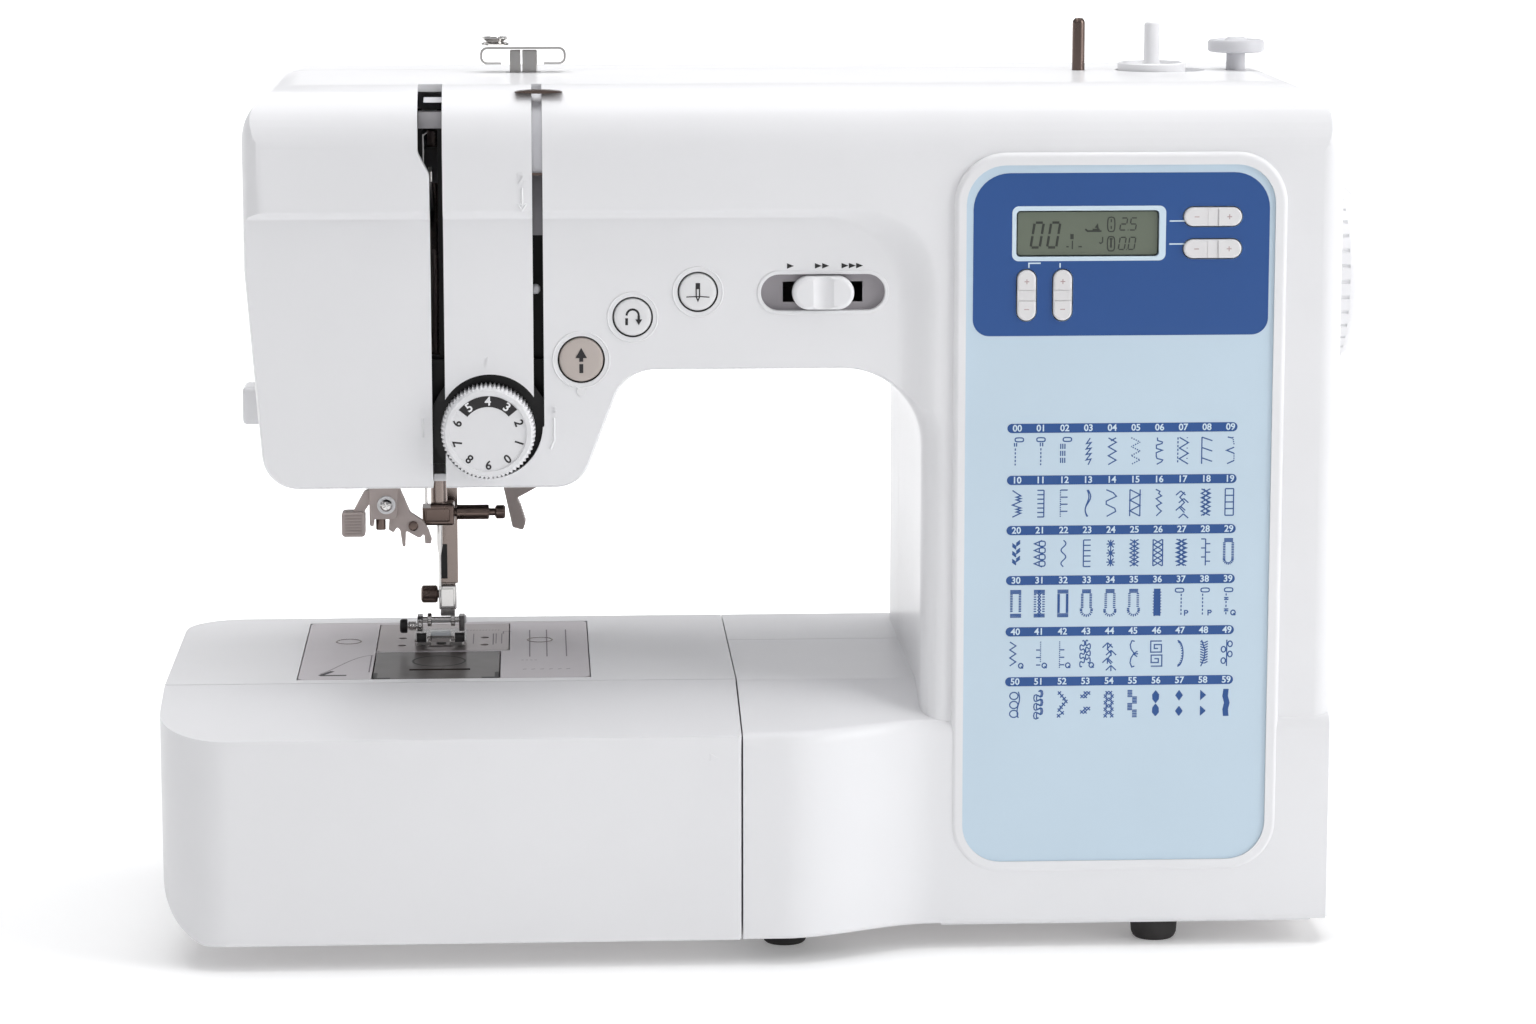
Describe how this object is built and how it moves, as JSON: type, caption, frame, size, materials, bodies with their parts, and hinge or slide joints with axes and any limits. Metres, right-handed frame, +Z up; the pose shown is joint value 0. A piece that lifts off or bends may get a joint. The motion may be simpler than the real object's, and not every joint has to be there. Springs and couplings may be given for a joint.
{
  "type": "sewing machine",
  "caption": "Computerised free-arm sewing machine: C-shaped casing with working needle, presser foot, dial, keys, handwheel, slide-off accessory tray.",
  "frame": {"origin": "on the table, under the middle of the machine's overall width and depth", "axes": "+X towards the handwheel, +Y away from the user, +Z up"},
  "size_m": [0.413, 0.178, 0.308],
  "materials": {
    "white_plastic": "glossy injection-moulded white",
    "grey_plastic": "satin warm grey",
    "plate_plastic": "satin grey-lilac",
    "panel_blue": "satin printed light blue with a dark blue block",
    "lcd": "grey-green liquid crystal display",
    "dark_plastic": "matt black",
    "smoked_plastic": "clear smoked",
    "steel": "ground and polished",
    "chrome": "bright",
    "cast_metal": "cast",
    "motor_can": "pressed steel case",
    "rubber": "matt grey",
    "belt_rubber": "black toothed belt"
  },
  "bodies": {
    "chassis": {"front_cover": "white_plastic", "rear_cover": "white_plastic", "free_arm_shell": "white_plastic", "base_plate": "grey_plastic", "rubber_foot_1": "rubber", "rubber_foot_2": "rubber", "rubber_foot_3": "rubber", "rubber_foot_4": "rubber", "machine_frame": "cast_metal", "needle_plate_cover": "plate_plastic", "needle_plate": "steel", "control_panel": "panel_blue", "lcd_module": "lcd", "motor": "motor_can", "bobbin_case": "dark_plastic", "thread_path_guard": "dark_plastic", "thread_guide_bracket": "steel", "thread_guide_plate": "chrome", "pretension_disc": "chrome", "power_inlet": "dark_plastic", "motor_belt": "belt_rubber", "timing_belt": "belt_rubber", "winder_stop": "grey_plastic"},
    "main_shaft": {"handwheel": "white_plastic", "upper_shaft": "steel"},
    "motor_pulley": {"motor_pulley": "steel"},
    "lower_shaft": {"lower_shaft": "steel"},
    "rotary_hook": {"rotary_hook": "steel"},
    "bobbin": {"bobbin": "smoked_plastic"},
    "needle_bar": {"needle_bar": "steel", "needle_clamp": "steel", "needle_clamp_screw": "steel", "needle": "chrome"},
    "take_up_lever": {"take_up_lever": "chrome"},
    "presser_bar": {"presser_bar": "steel", "foot_holder": "chrome", "foot_screw": "steel"},
    "presser_foot": {"presser_foot": "chrome"},
    "presser_foot_lever": {"presser_foot_lever": "grey_plastic"},
    "needle_threader": {"needle_threader": "grey_plastic"},
    "tension_dial": {"tension_dial": "white_plastic"},
    "start_stop_button": {"start_stop_button": "grey_plastic"},
    "reverse_button": {"reverse_button": "white_plastic"},
    "needle_position_button": {"needle_position_button": "white_plastic"},
    "speed_knob": {"speed_knob": "white_plastic"},
    "length_key": {"length_key": "white_plastic"},
    "width_key": {"width_key": "white_plastic"},
    "stitch_tens_key": {"stitch_tens_key": "white_plastic"},
    "stitch_ones_key": {"stitch_ones_key": "white_plastic"},
    "power_switch": {"power_switch": "dark_plastic"},
    "spool_pin": {"spool_pin": "steel"},
    "winder_arm": {"winder_arm": "dark_plastic"},
    "winder_shaft": {"winder_shaft": "white_plastic"},
    "bobbin_cover": {"bobbin_cover": "smoked_plastic"},
    "feed_bar": {"feed_bar": "steel"},
    "feed_dog": {"feed_dog": "steel"},
    "drop_feed_lever": {"drop_feed_lever": "grey_plastic"},
    "carry_handle": {"carry_handle": "white_plastic"},
    "tray_body": {"tray_body": "grey_plastic"},
    "tray_cover": {"tray_cover": "white_plastic"}
  },
  "joints": [
    {"name": "main_shaft_spin", "type": "hinge", "parent": "chassis", "child": "main_shaft", "pos_m": [0, 0.018, 0.2185], "axis": [1, 0, 0], "continuous": true},
    {"name": "motor_pulley_spin", "type": "hinge", "parent": "chassis", "child": "motor_pulley", "pos_m": [0, -0.035, 0.05], "axis": [1, 0, 0], "continuous": true},
    {"name": "lower_shaft_spin", "type": "hinge", "parent": "chassis", "child": "lower_shaft", "pos_m": [0, 0.018, 0.05], "axis": [1, 0, 0], "continuous": true},
    {"name": "hook_spin", "type": "hinge", "parent": "chassis", "child": "rotary_hook", "pos_m": [-0.1148, -0.004, 0.06], "axis": [0, 0, 1], "continuous": true},
    {"name": "bobbin_spin", "type": "hinge", "parent": "chassis", "child": "bobbin", "pos_m": [-0.1148, -0.004, 0.076], "axis": [0, 0, 1], "continuous": true},
    {"name": "needle_bar_slide", "type": "slide", "parent": "chassis", "child": "needle_bar", "axis": [0, 0, -1], "range_m": [0, 0.03]},
    {"name": "take_up_swing", "type": "hinge", "parent": "chassis", "child": "take_up_lever", "pos_m": [-0.115, -0.002, 0.238], "axis": [1, 0, 0], "range_deg": [0, 50]},
    {"name": "presser_lift", "type": "slide", "parent": "chassis", "child": "presser_bar", "axis": [0, 0, 1], "range_m": [0, 0.006]},
    {"name": "presser_foot_pitch", "type": "hinge", "parent": "presser_bar", "child": "presser_foot", "pos_m": [-0.1148, 0.028, 0.0956], "axis": [-1, 0, 0], "range_deg": [-1, 8]},
    {"name": "presser_lever_swing", "type": "hinge", "parent": "chassis", "child": "presser_foot_lever", "pos_m": [-0.103, 0.055, 0.165], "axis": [0, -1, 0], "range_deg": [0, 24]},
    {"name": "threader_pull", "type": "slide", "parent": "chassis", "child": "needle_threader", "axis": [0, 0, -1], "range_m": [0, 0.02], "stiffness_N_per_m": 60, "springref_m": -0.01},
    {"name": "tension_dial_turn", "type": "hinge", "parent": "chassis", "child": "tension_dial", "pos_m": [-0.0965, -0.0715, 0.177], "axis": [0, 1, 0], "range_deg": [-144, 180]},
    {"name": "start_stop_press", "type": "slide", "parent": "chassis", "child": "start_stop_button", "axis": [0, 1, 0], "range_m": [0, 0.0015], "stiffness_N_per_m": 500, "springref_m": -0.0005},
    {"name": "reverse_press", "type": "slide", "parent": "chassis", "child": "reverse_button", "axis": [0, 1, 0], "range_m": [0, 0.0015], "stiffness_N_per_m": 500, "springref_m": -0.0005},
    {"name": "needle_position_press", "type": "slide", "parent": "chassis", "child": "needle_position_button", "axis": [0, 1, 0], "range_m": [0, 0.0015], "stiffness_N_per_m": 500, "springref_m": -0.0005},
    {"name": "speed_slide", "type": "slide", "parent": "chassis", "child": "speed_knob", "axis": [1, 0, 0], "range_m": [-0.0095, 0.0095]},
    {"name": "length_key_rock", "type": "hinge", "parent": "chassis", "child": "length_key", "pos_m": [0.1423, -0.0702, 0.2472], "axis": [0, 0, 1], "range_deg": [-3, 3], "stiffness_Nm_per_rad": 0.1},
    {"name": "width_key_rock", "type": "hinge", "parent": "chassis", "child": "width_key", "pos_m": [0.1423, -0.0702, 0.2366], "axis": [0, 0, 1], "range_deg": [-3, 3], "stiffness_Nm_per_rad": 0.1},
    {"name": "stitch_tens_rock", "type": "hinge", "parent": "chassis", "child": "stitch_tens_key", "pos_m": [0.0809, -0.0702, 0.2215], "axis": [1, 0, 0], "range_deg": [-3, 3], "stiffness_Nm_per_rad": 0.1},
    {"name": "stitch_ones_rock", "type": "hinge", "parent": "chassis", "child": "stitch_ones_key", "pos_m": [0.0928, -0.0702, 0.2215], "axis": [1, 0, 0], "range_deg": [-3, 3], "stiffness_Nm_per_rad": 0.1},
    {"name": "power_switch_rock", "type": "hinge", "parent": "chassis", "child": "power_switch", "pos_m": [0.185, -0.013, 0.113], "axis": [0, 1, 0], "range_deg": [-8, 8]},
    {"name": "spool_pin_pull", "type": "slide", "parent": "chassis", "child": "spool_pin", "axis": [0, 0, 1], "range_m": [0, 0.045]},
    {"name": "winder_engage", "type": "slide", "parent": "chassis", "child": "winder_arm", "axis": [1, 0, 0], "range_m": [0, 0.006]},
    {"name": "winder_spin", "type": "hinge", "parent": "winder_arm", "child": "winder_shaft", "pos_m": [0.1327, 0.01, 0.29], "axis": [0, 0, 1], "continuous": true},
    {"name": "bobbin_cover_lift", "type": "slide", "parent": "chassis", "child": "bobbin_cover", "axis": [0, 0, 1], "range_m": [0, 0.016]},
    {"name": "feed_bar_slide", "type": "slide", "parent": "chassis", "child": "feed_bar", "axis": [0, 1, 0], "range_m": [-0.002, 0.002]},
    {"name": "feed_dog_drop", "type": "slide", "parent": "feed_bar", "child": "feed_dog", "axis": [0, 0, -1], "range_m": [0, 0.003]},
    {"name": "drop_feed_slide", "type": "slide", "parent": "chassis", "child": "drop_feed_lever", "axis": [1, 0, 0], "range_m": [0, 0.012]},
    {"name": "carry_handle_swing", "type": "hinge", "parent": "chassis", "child": "carry_handle", "pos_m": [0.02, 0.078, 0.262], "axis": [1, 0, 0], "range_deg": [0, 165]},
    {"name": "tray_slide", "type": "slide", "parent": "chassis", "child": "tray_body", "axis": [-1, 0, 0], "range_m": [0, 0.2]},
    {"name": "tray_cover_open", "type": "hinge", "parent": "tray_body", "child": "tray_cover", "pos_m": [0, -0.0879, 0.01], "axis": [1, 0, 0], "range_deg": [0, 80]}
  ],
  "couplings": [
    {"joint": "motor_pulley_spin", "follows": "main_shaft_spin", "ratio": 2.5},
    {"joint": "lower_shaft_spin", "follows": "main_shaft_spin", "ratio": 1},
    {"joint": "hook_spin", "follows": "main_shaft_spin", "ratio": 2},
    {"joint": "take_up_swing", "follows": "needle_bar_slide", "rad_per_m": 28},
    {"joint": "presser_lever_swing", "follows": "presser_lift", "rad_per_m": 66},
    {"joint": "drop_feed_slide", "follows": "feed_dog_drop", "ratio": 4}
  ]
}
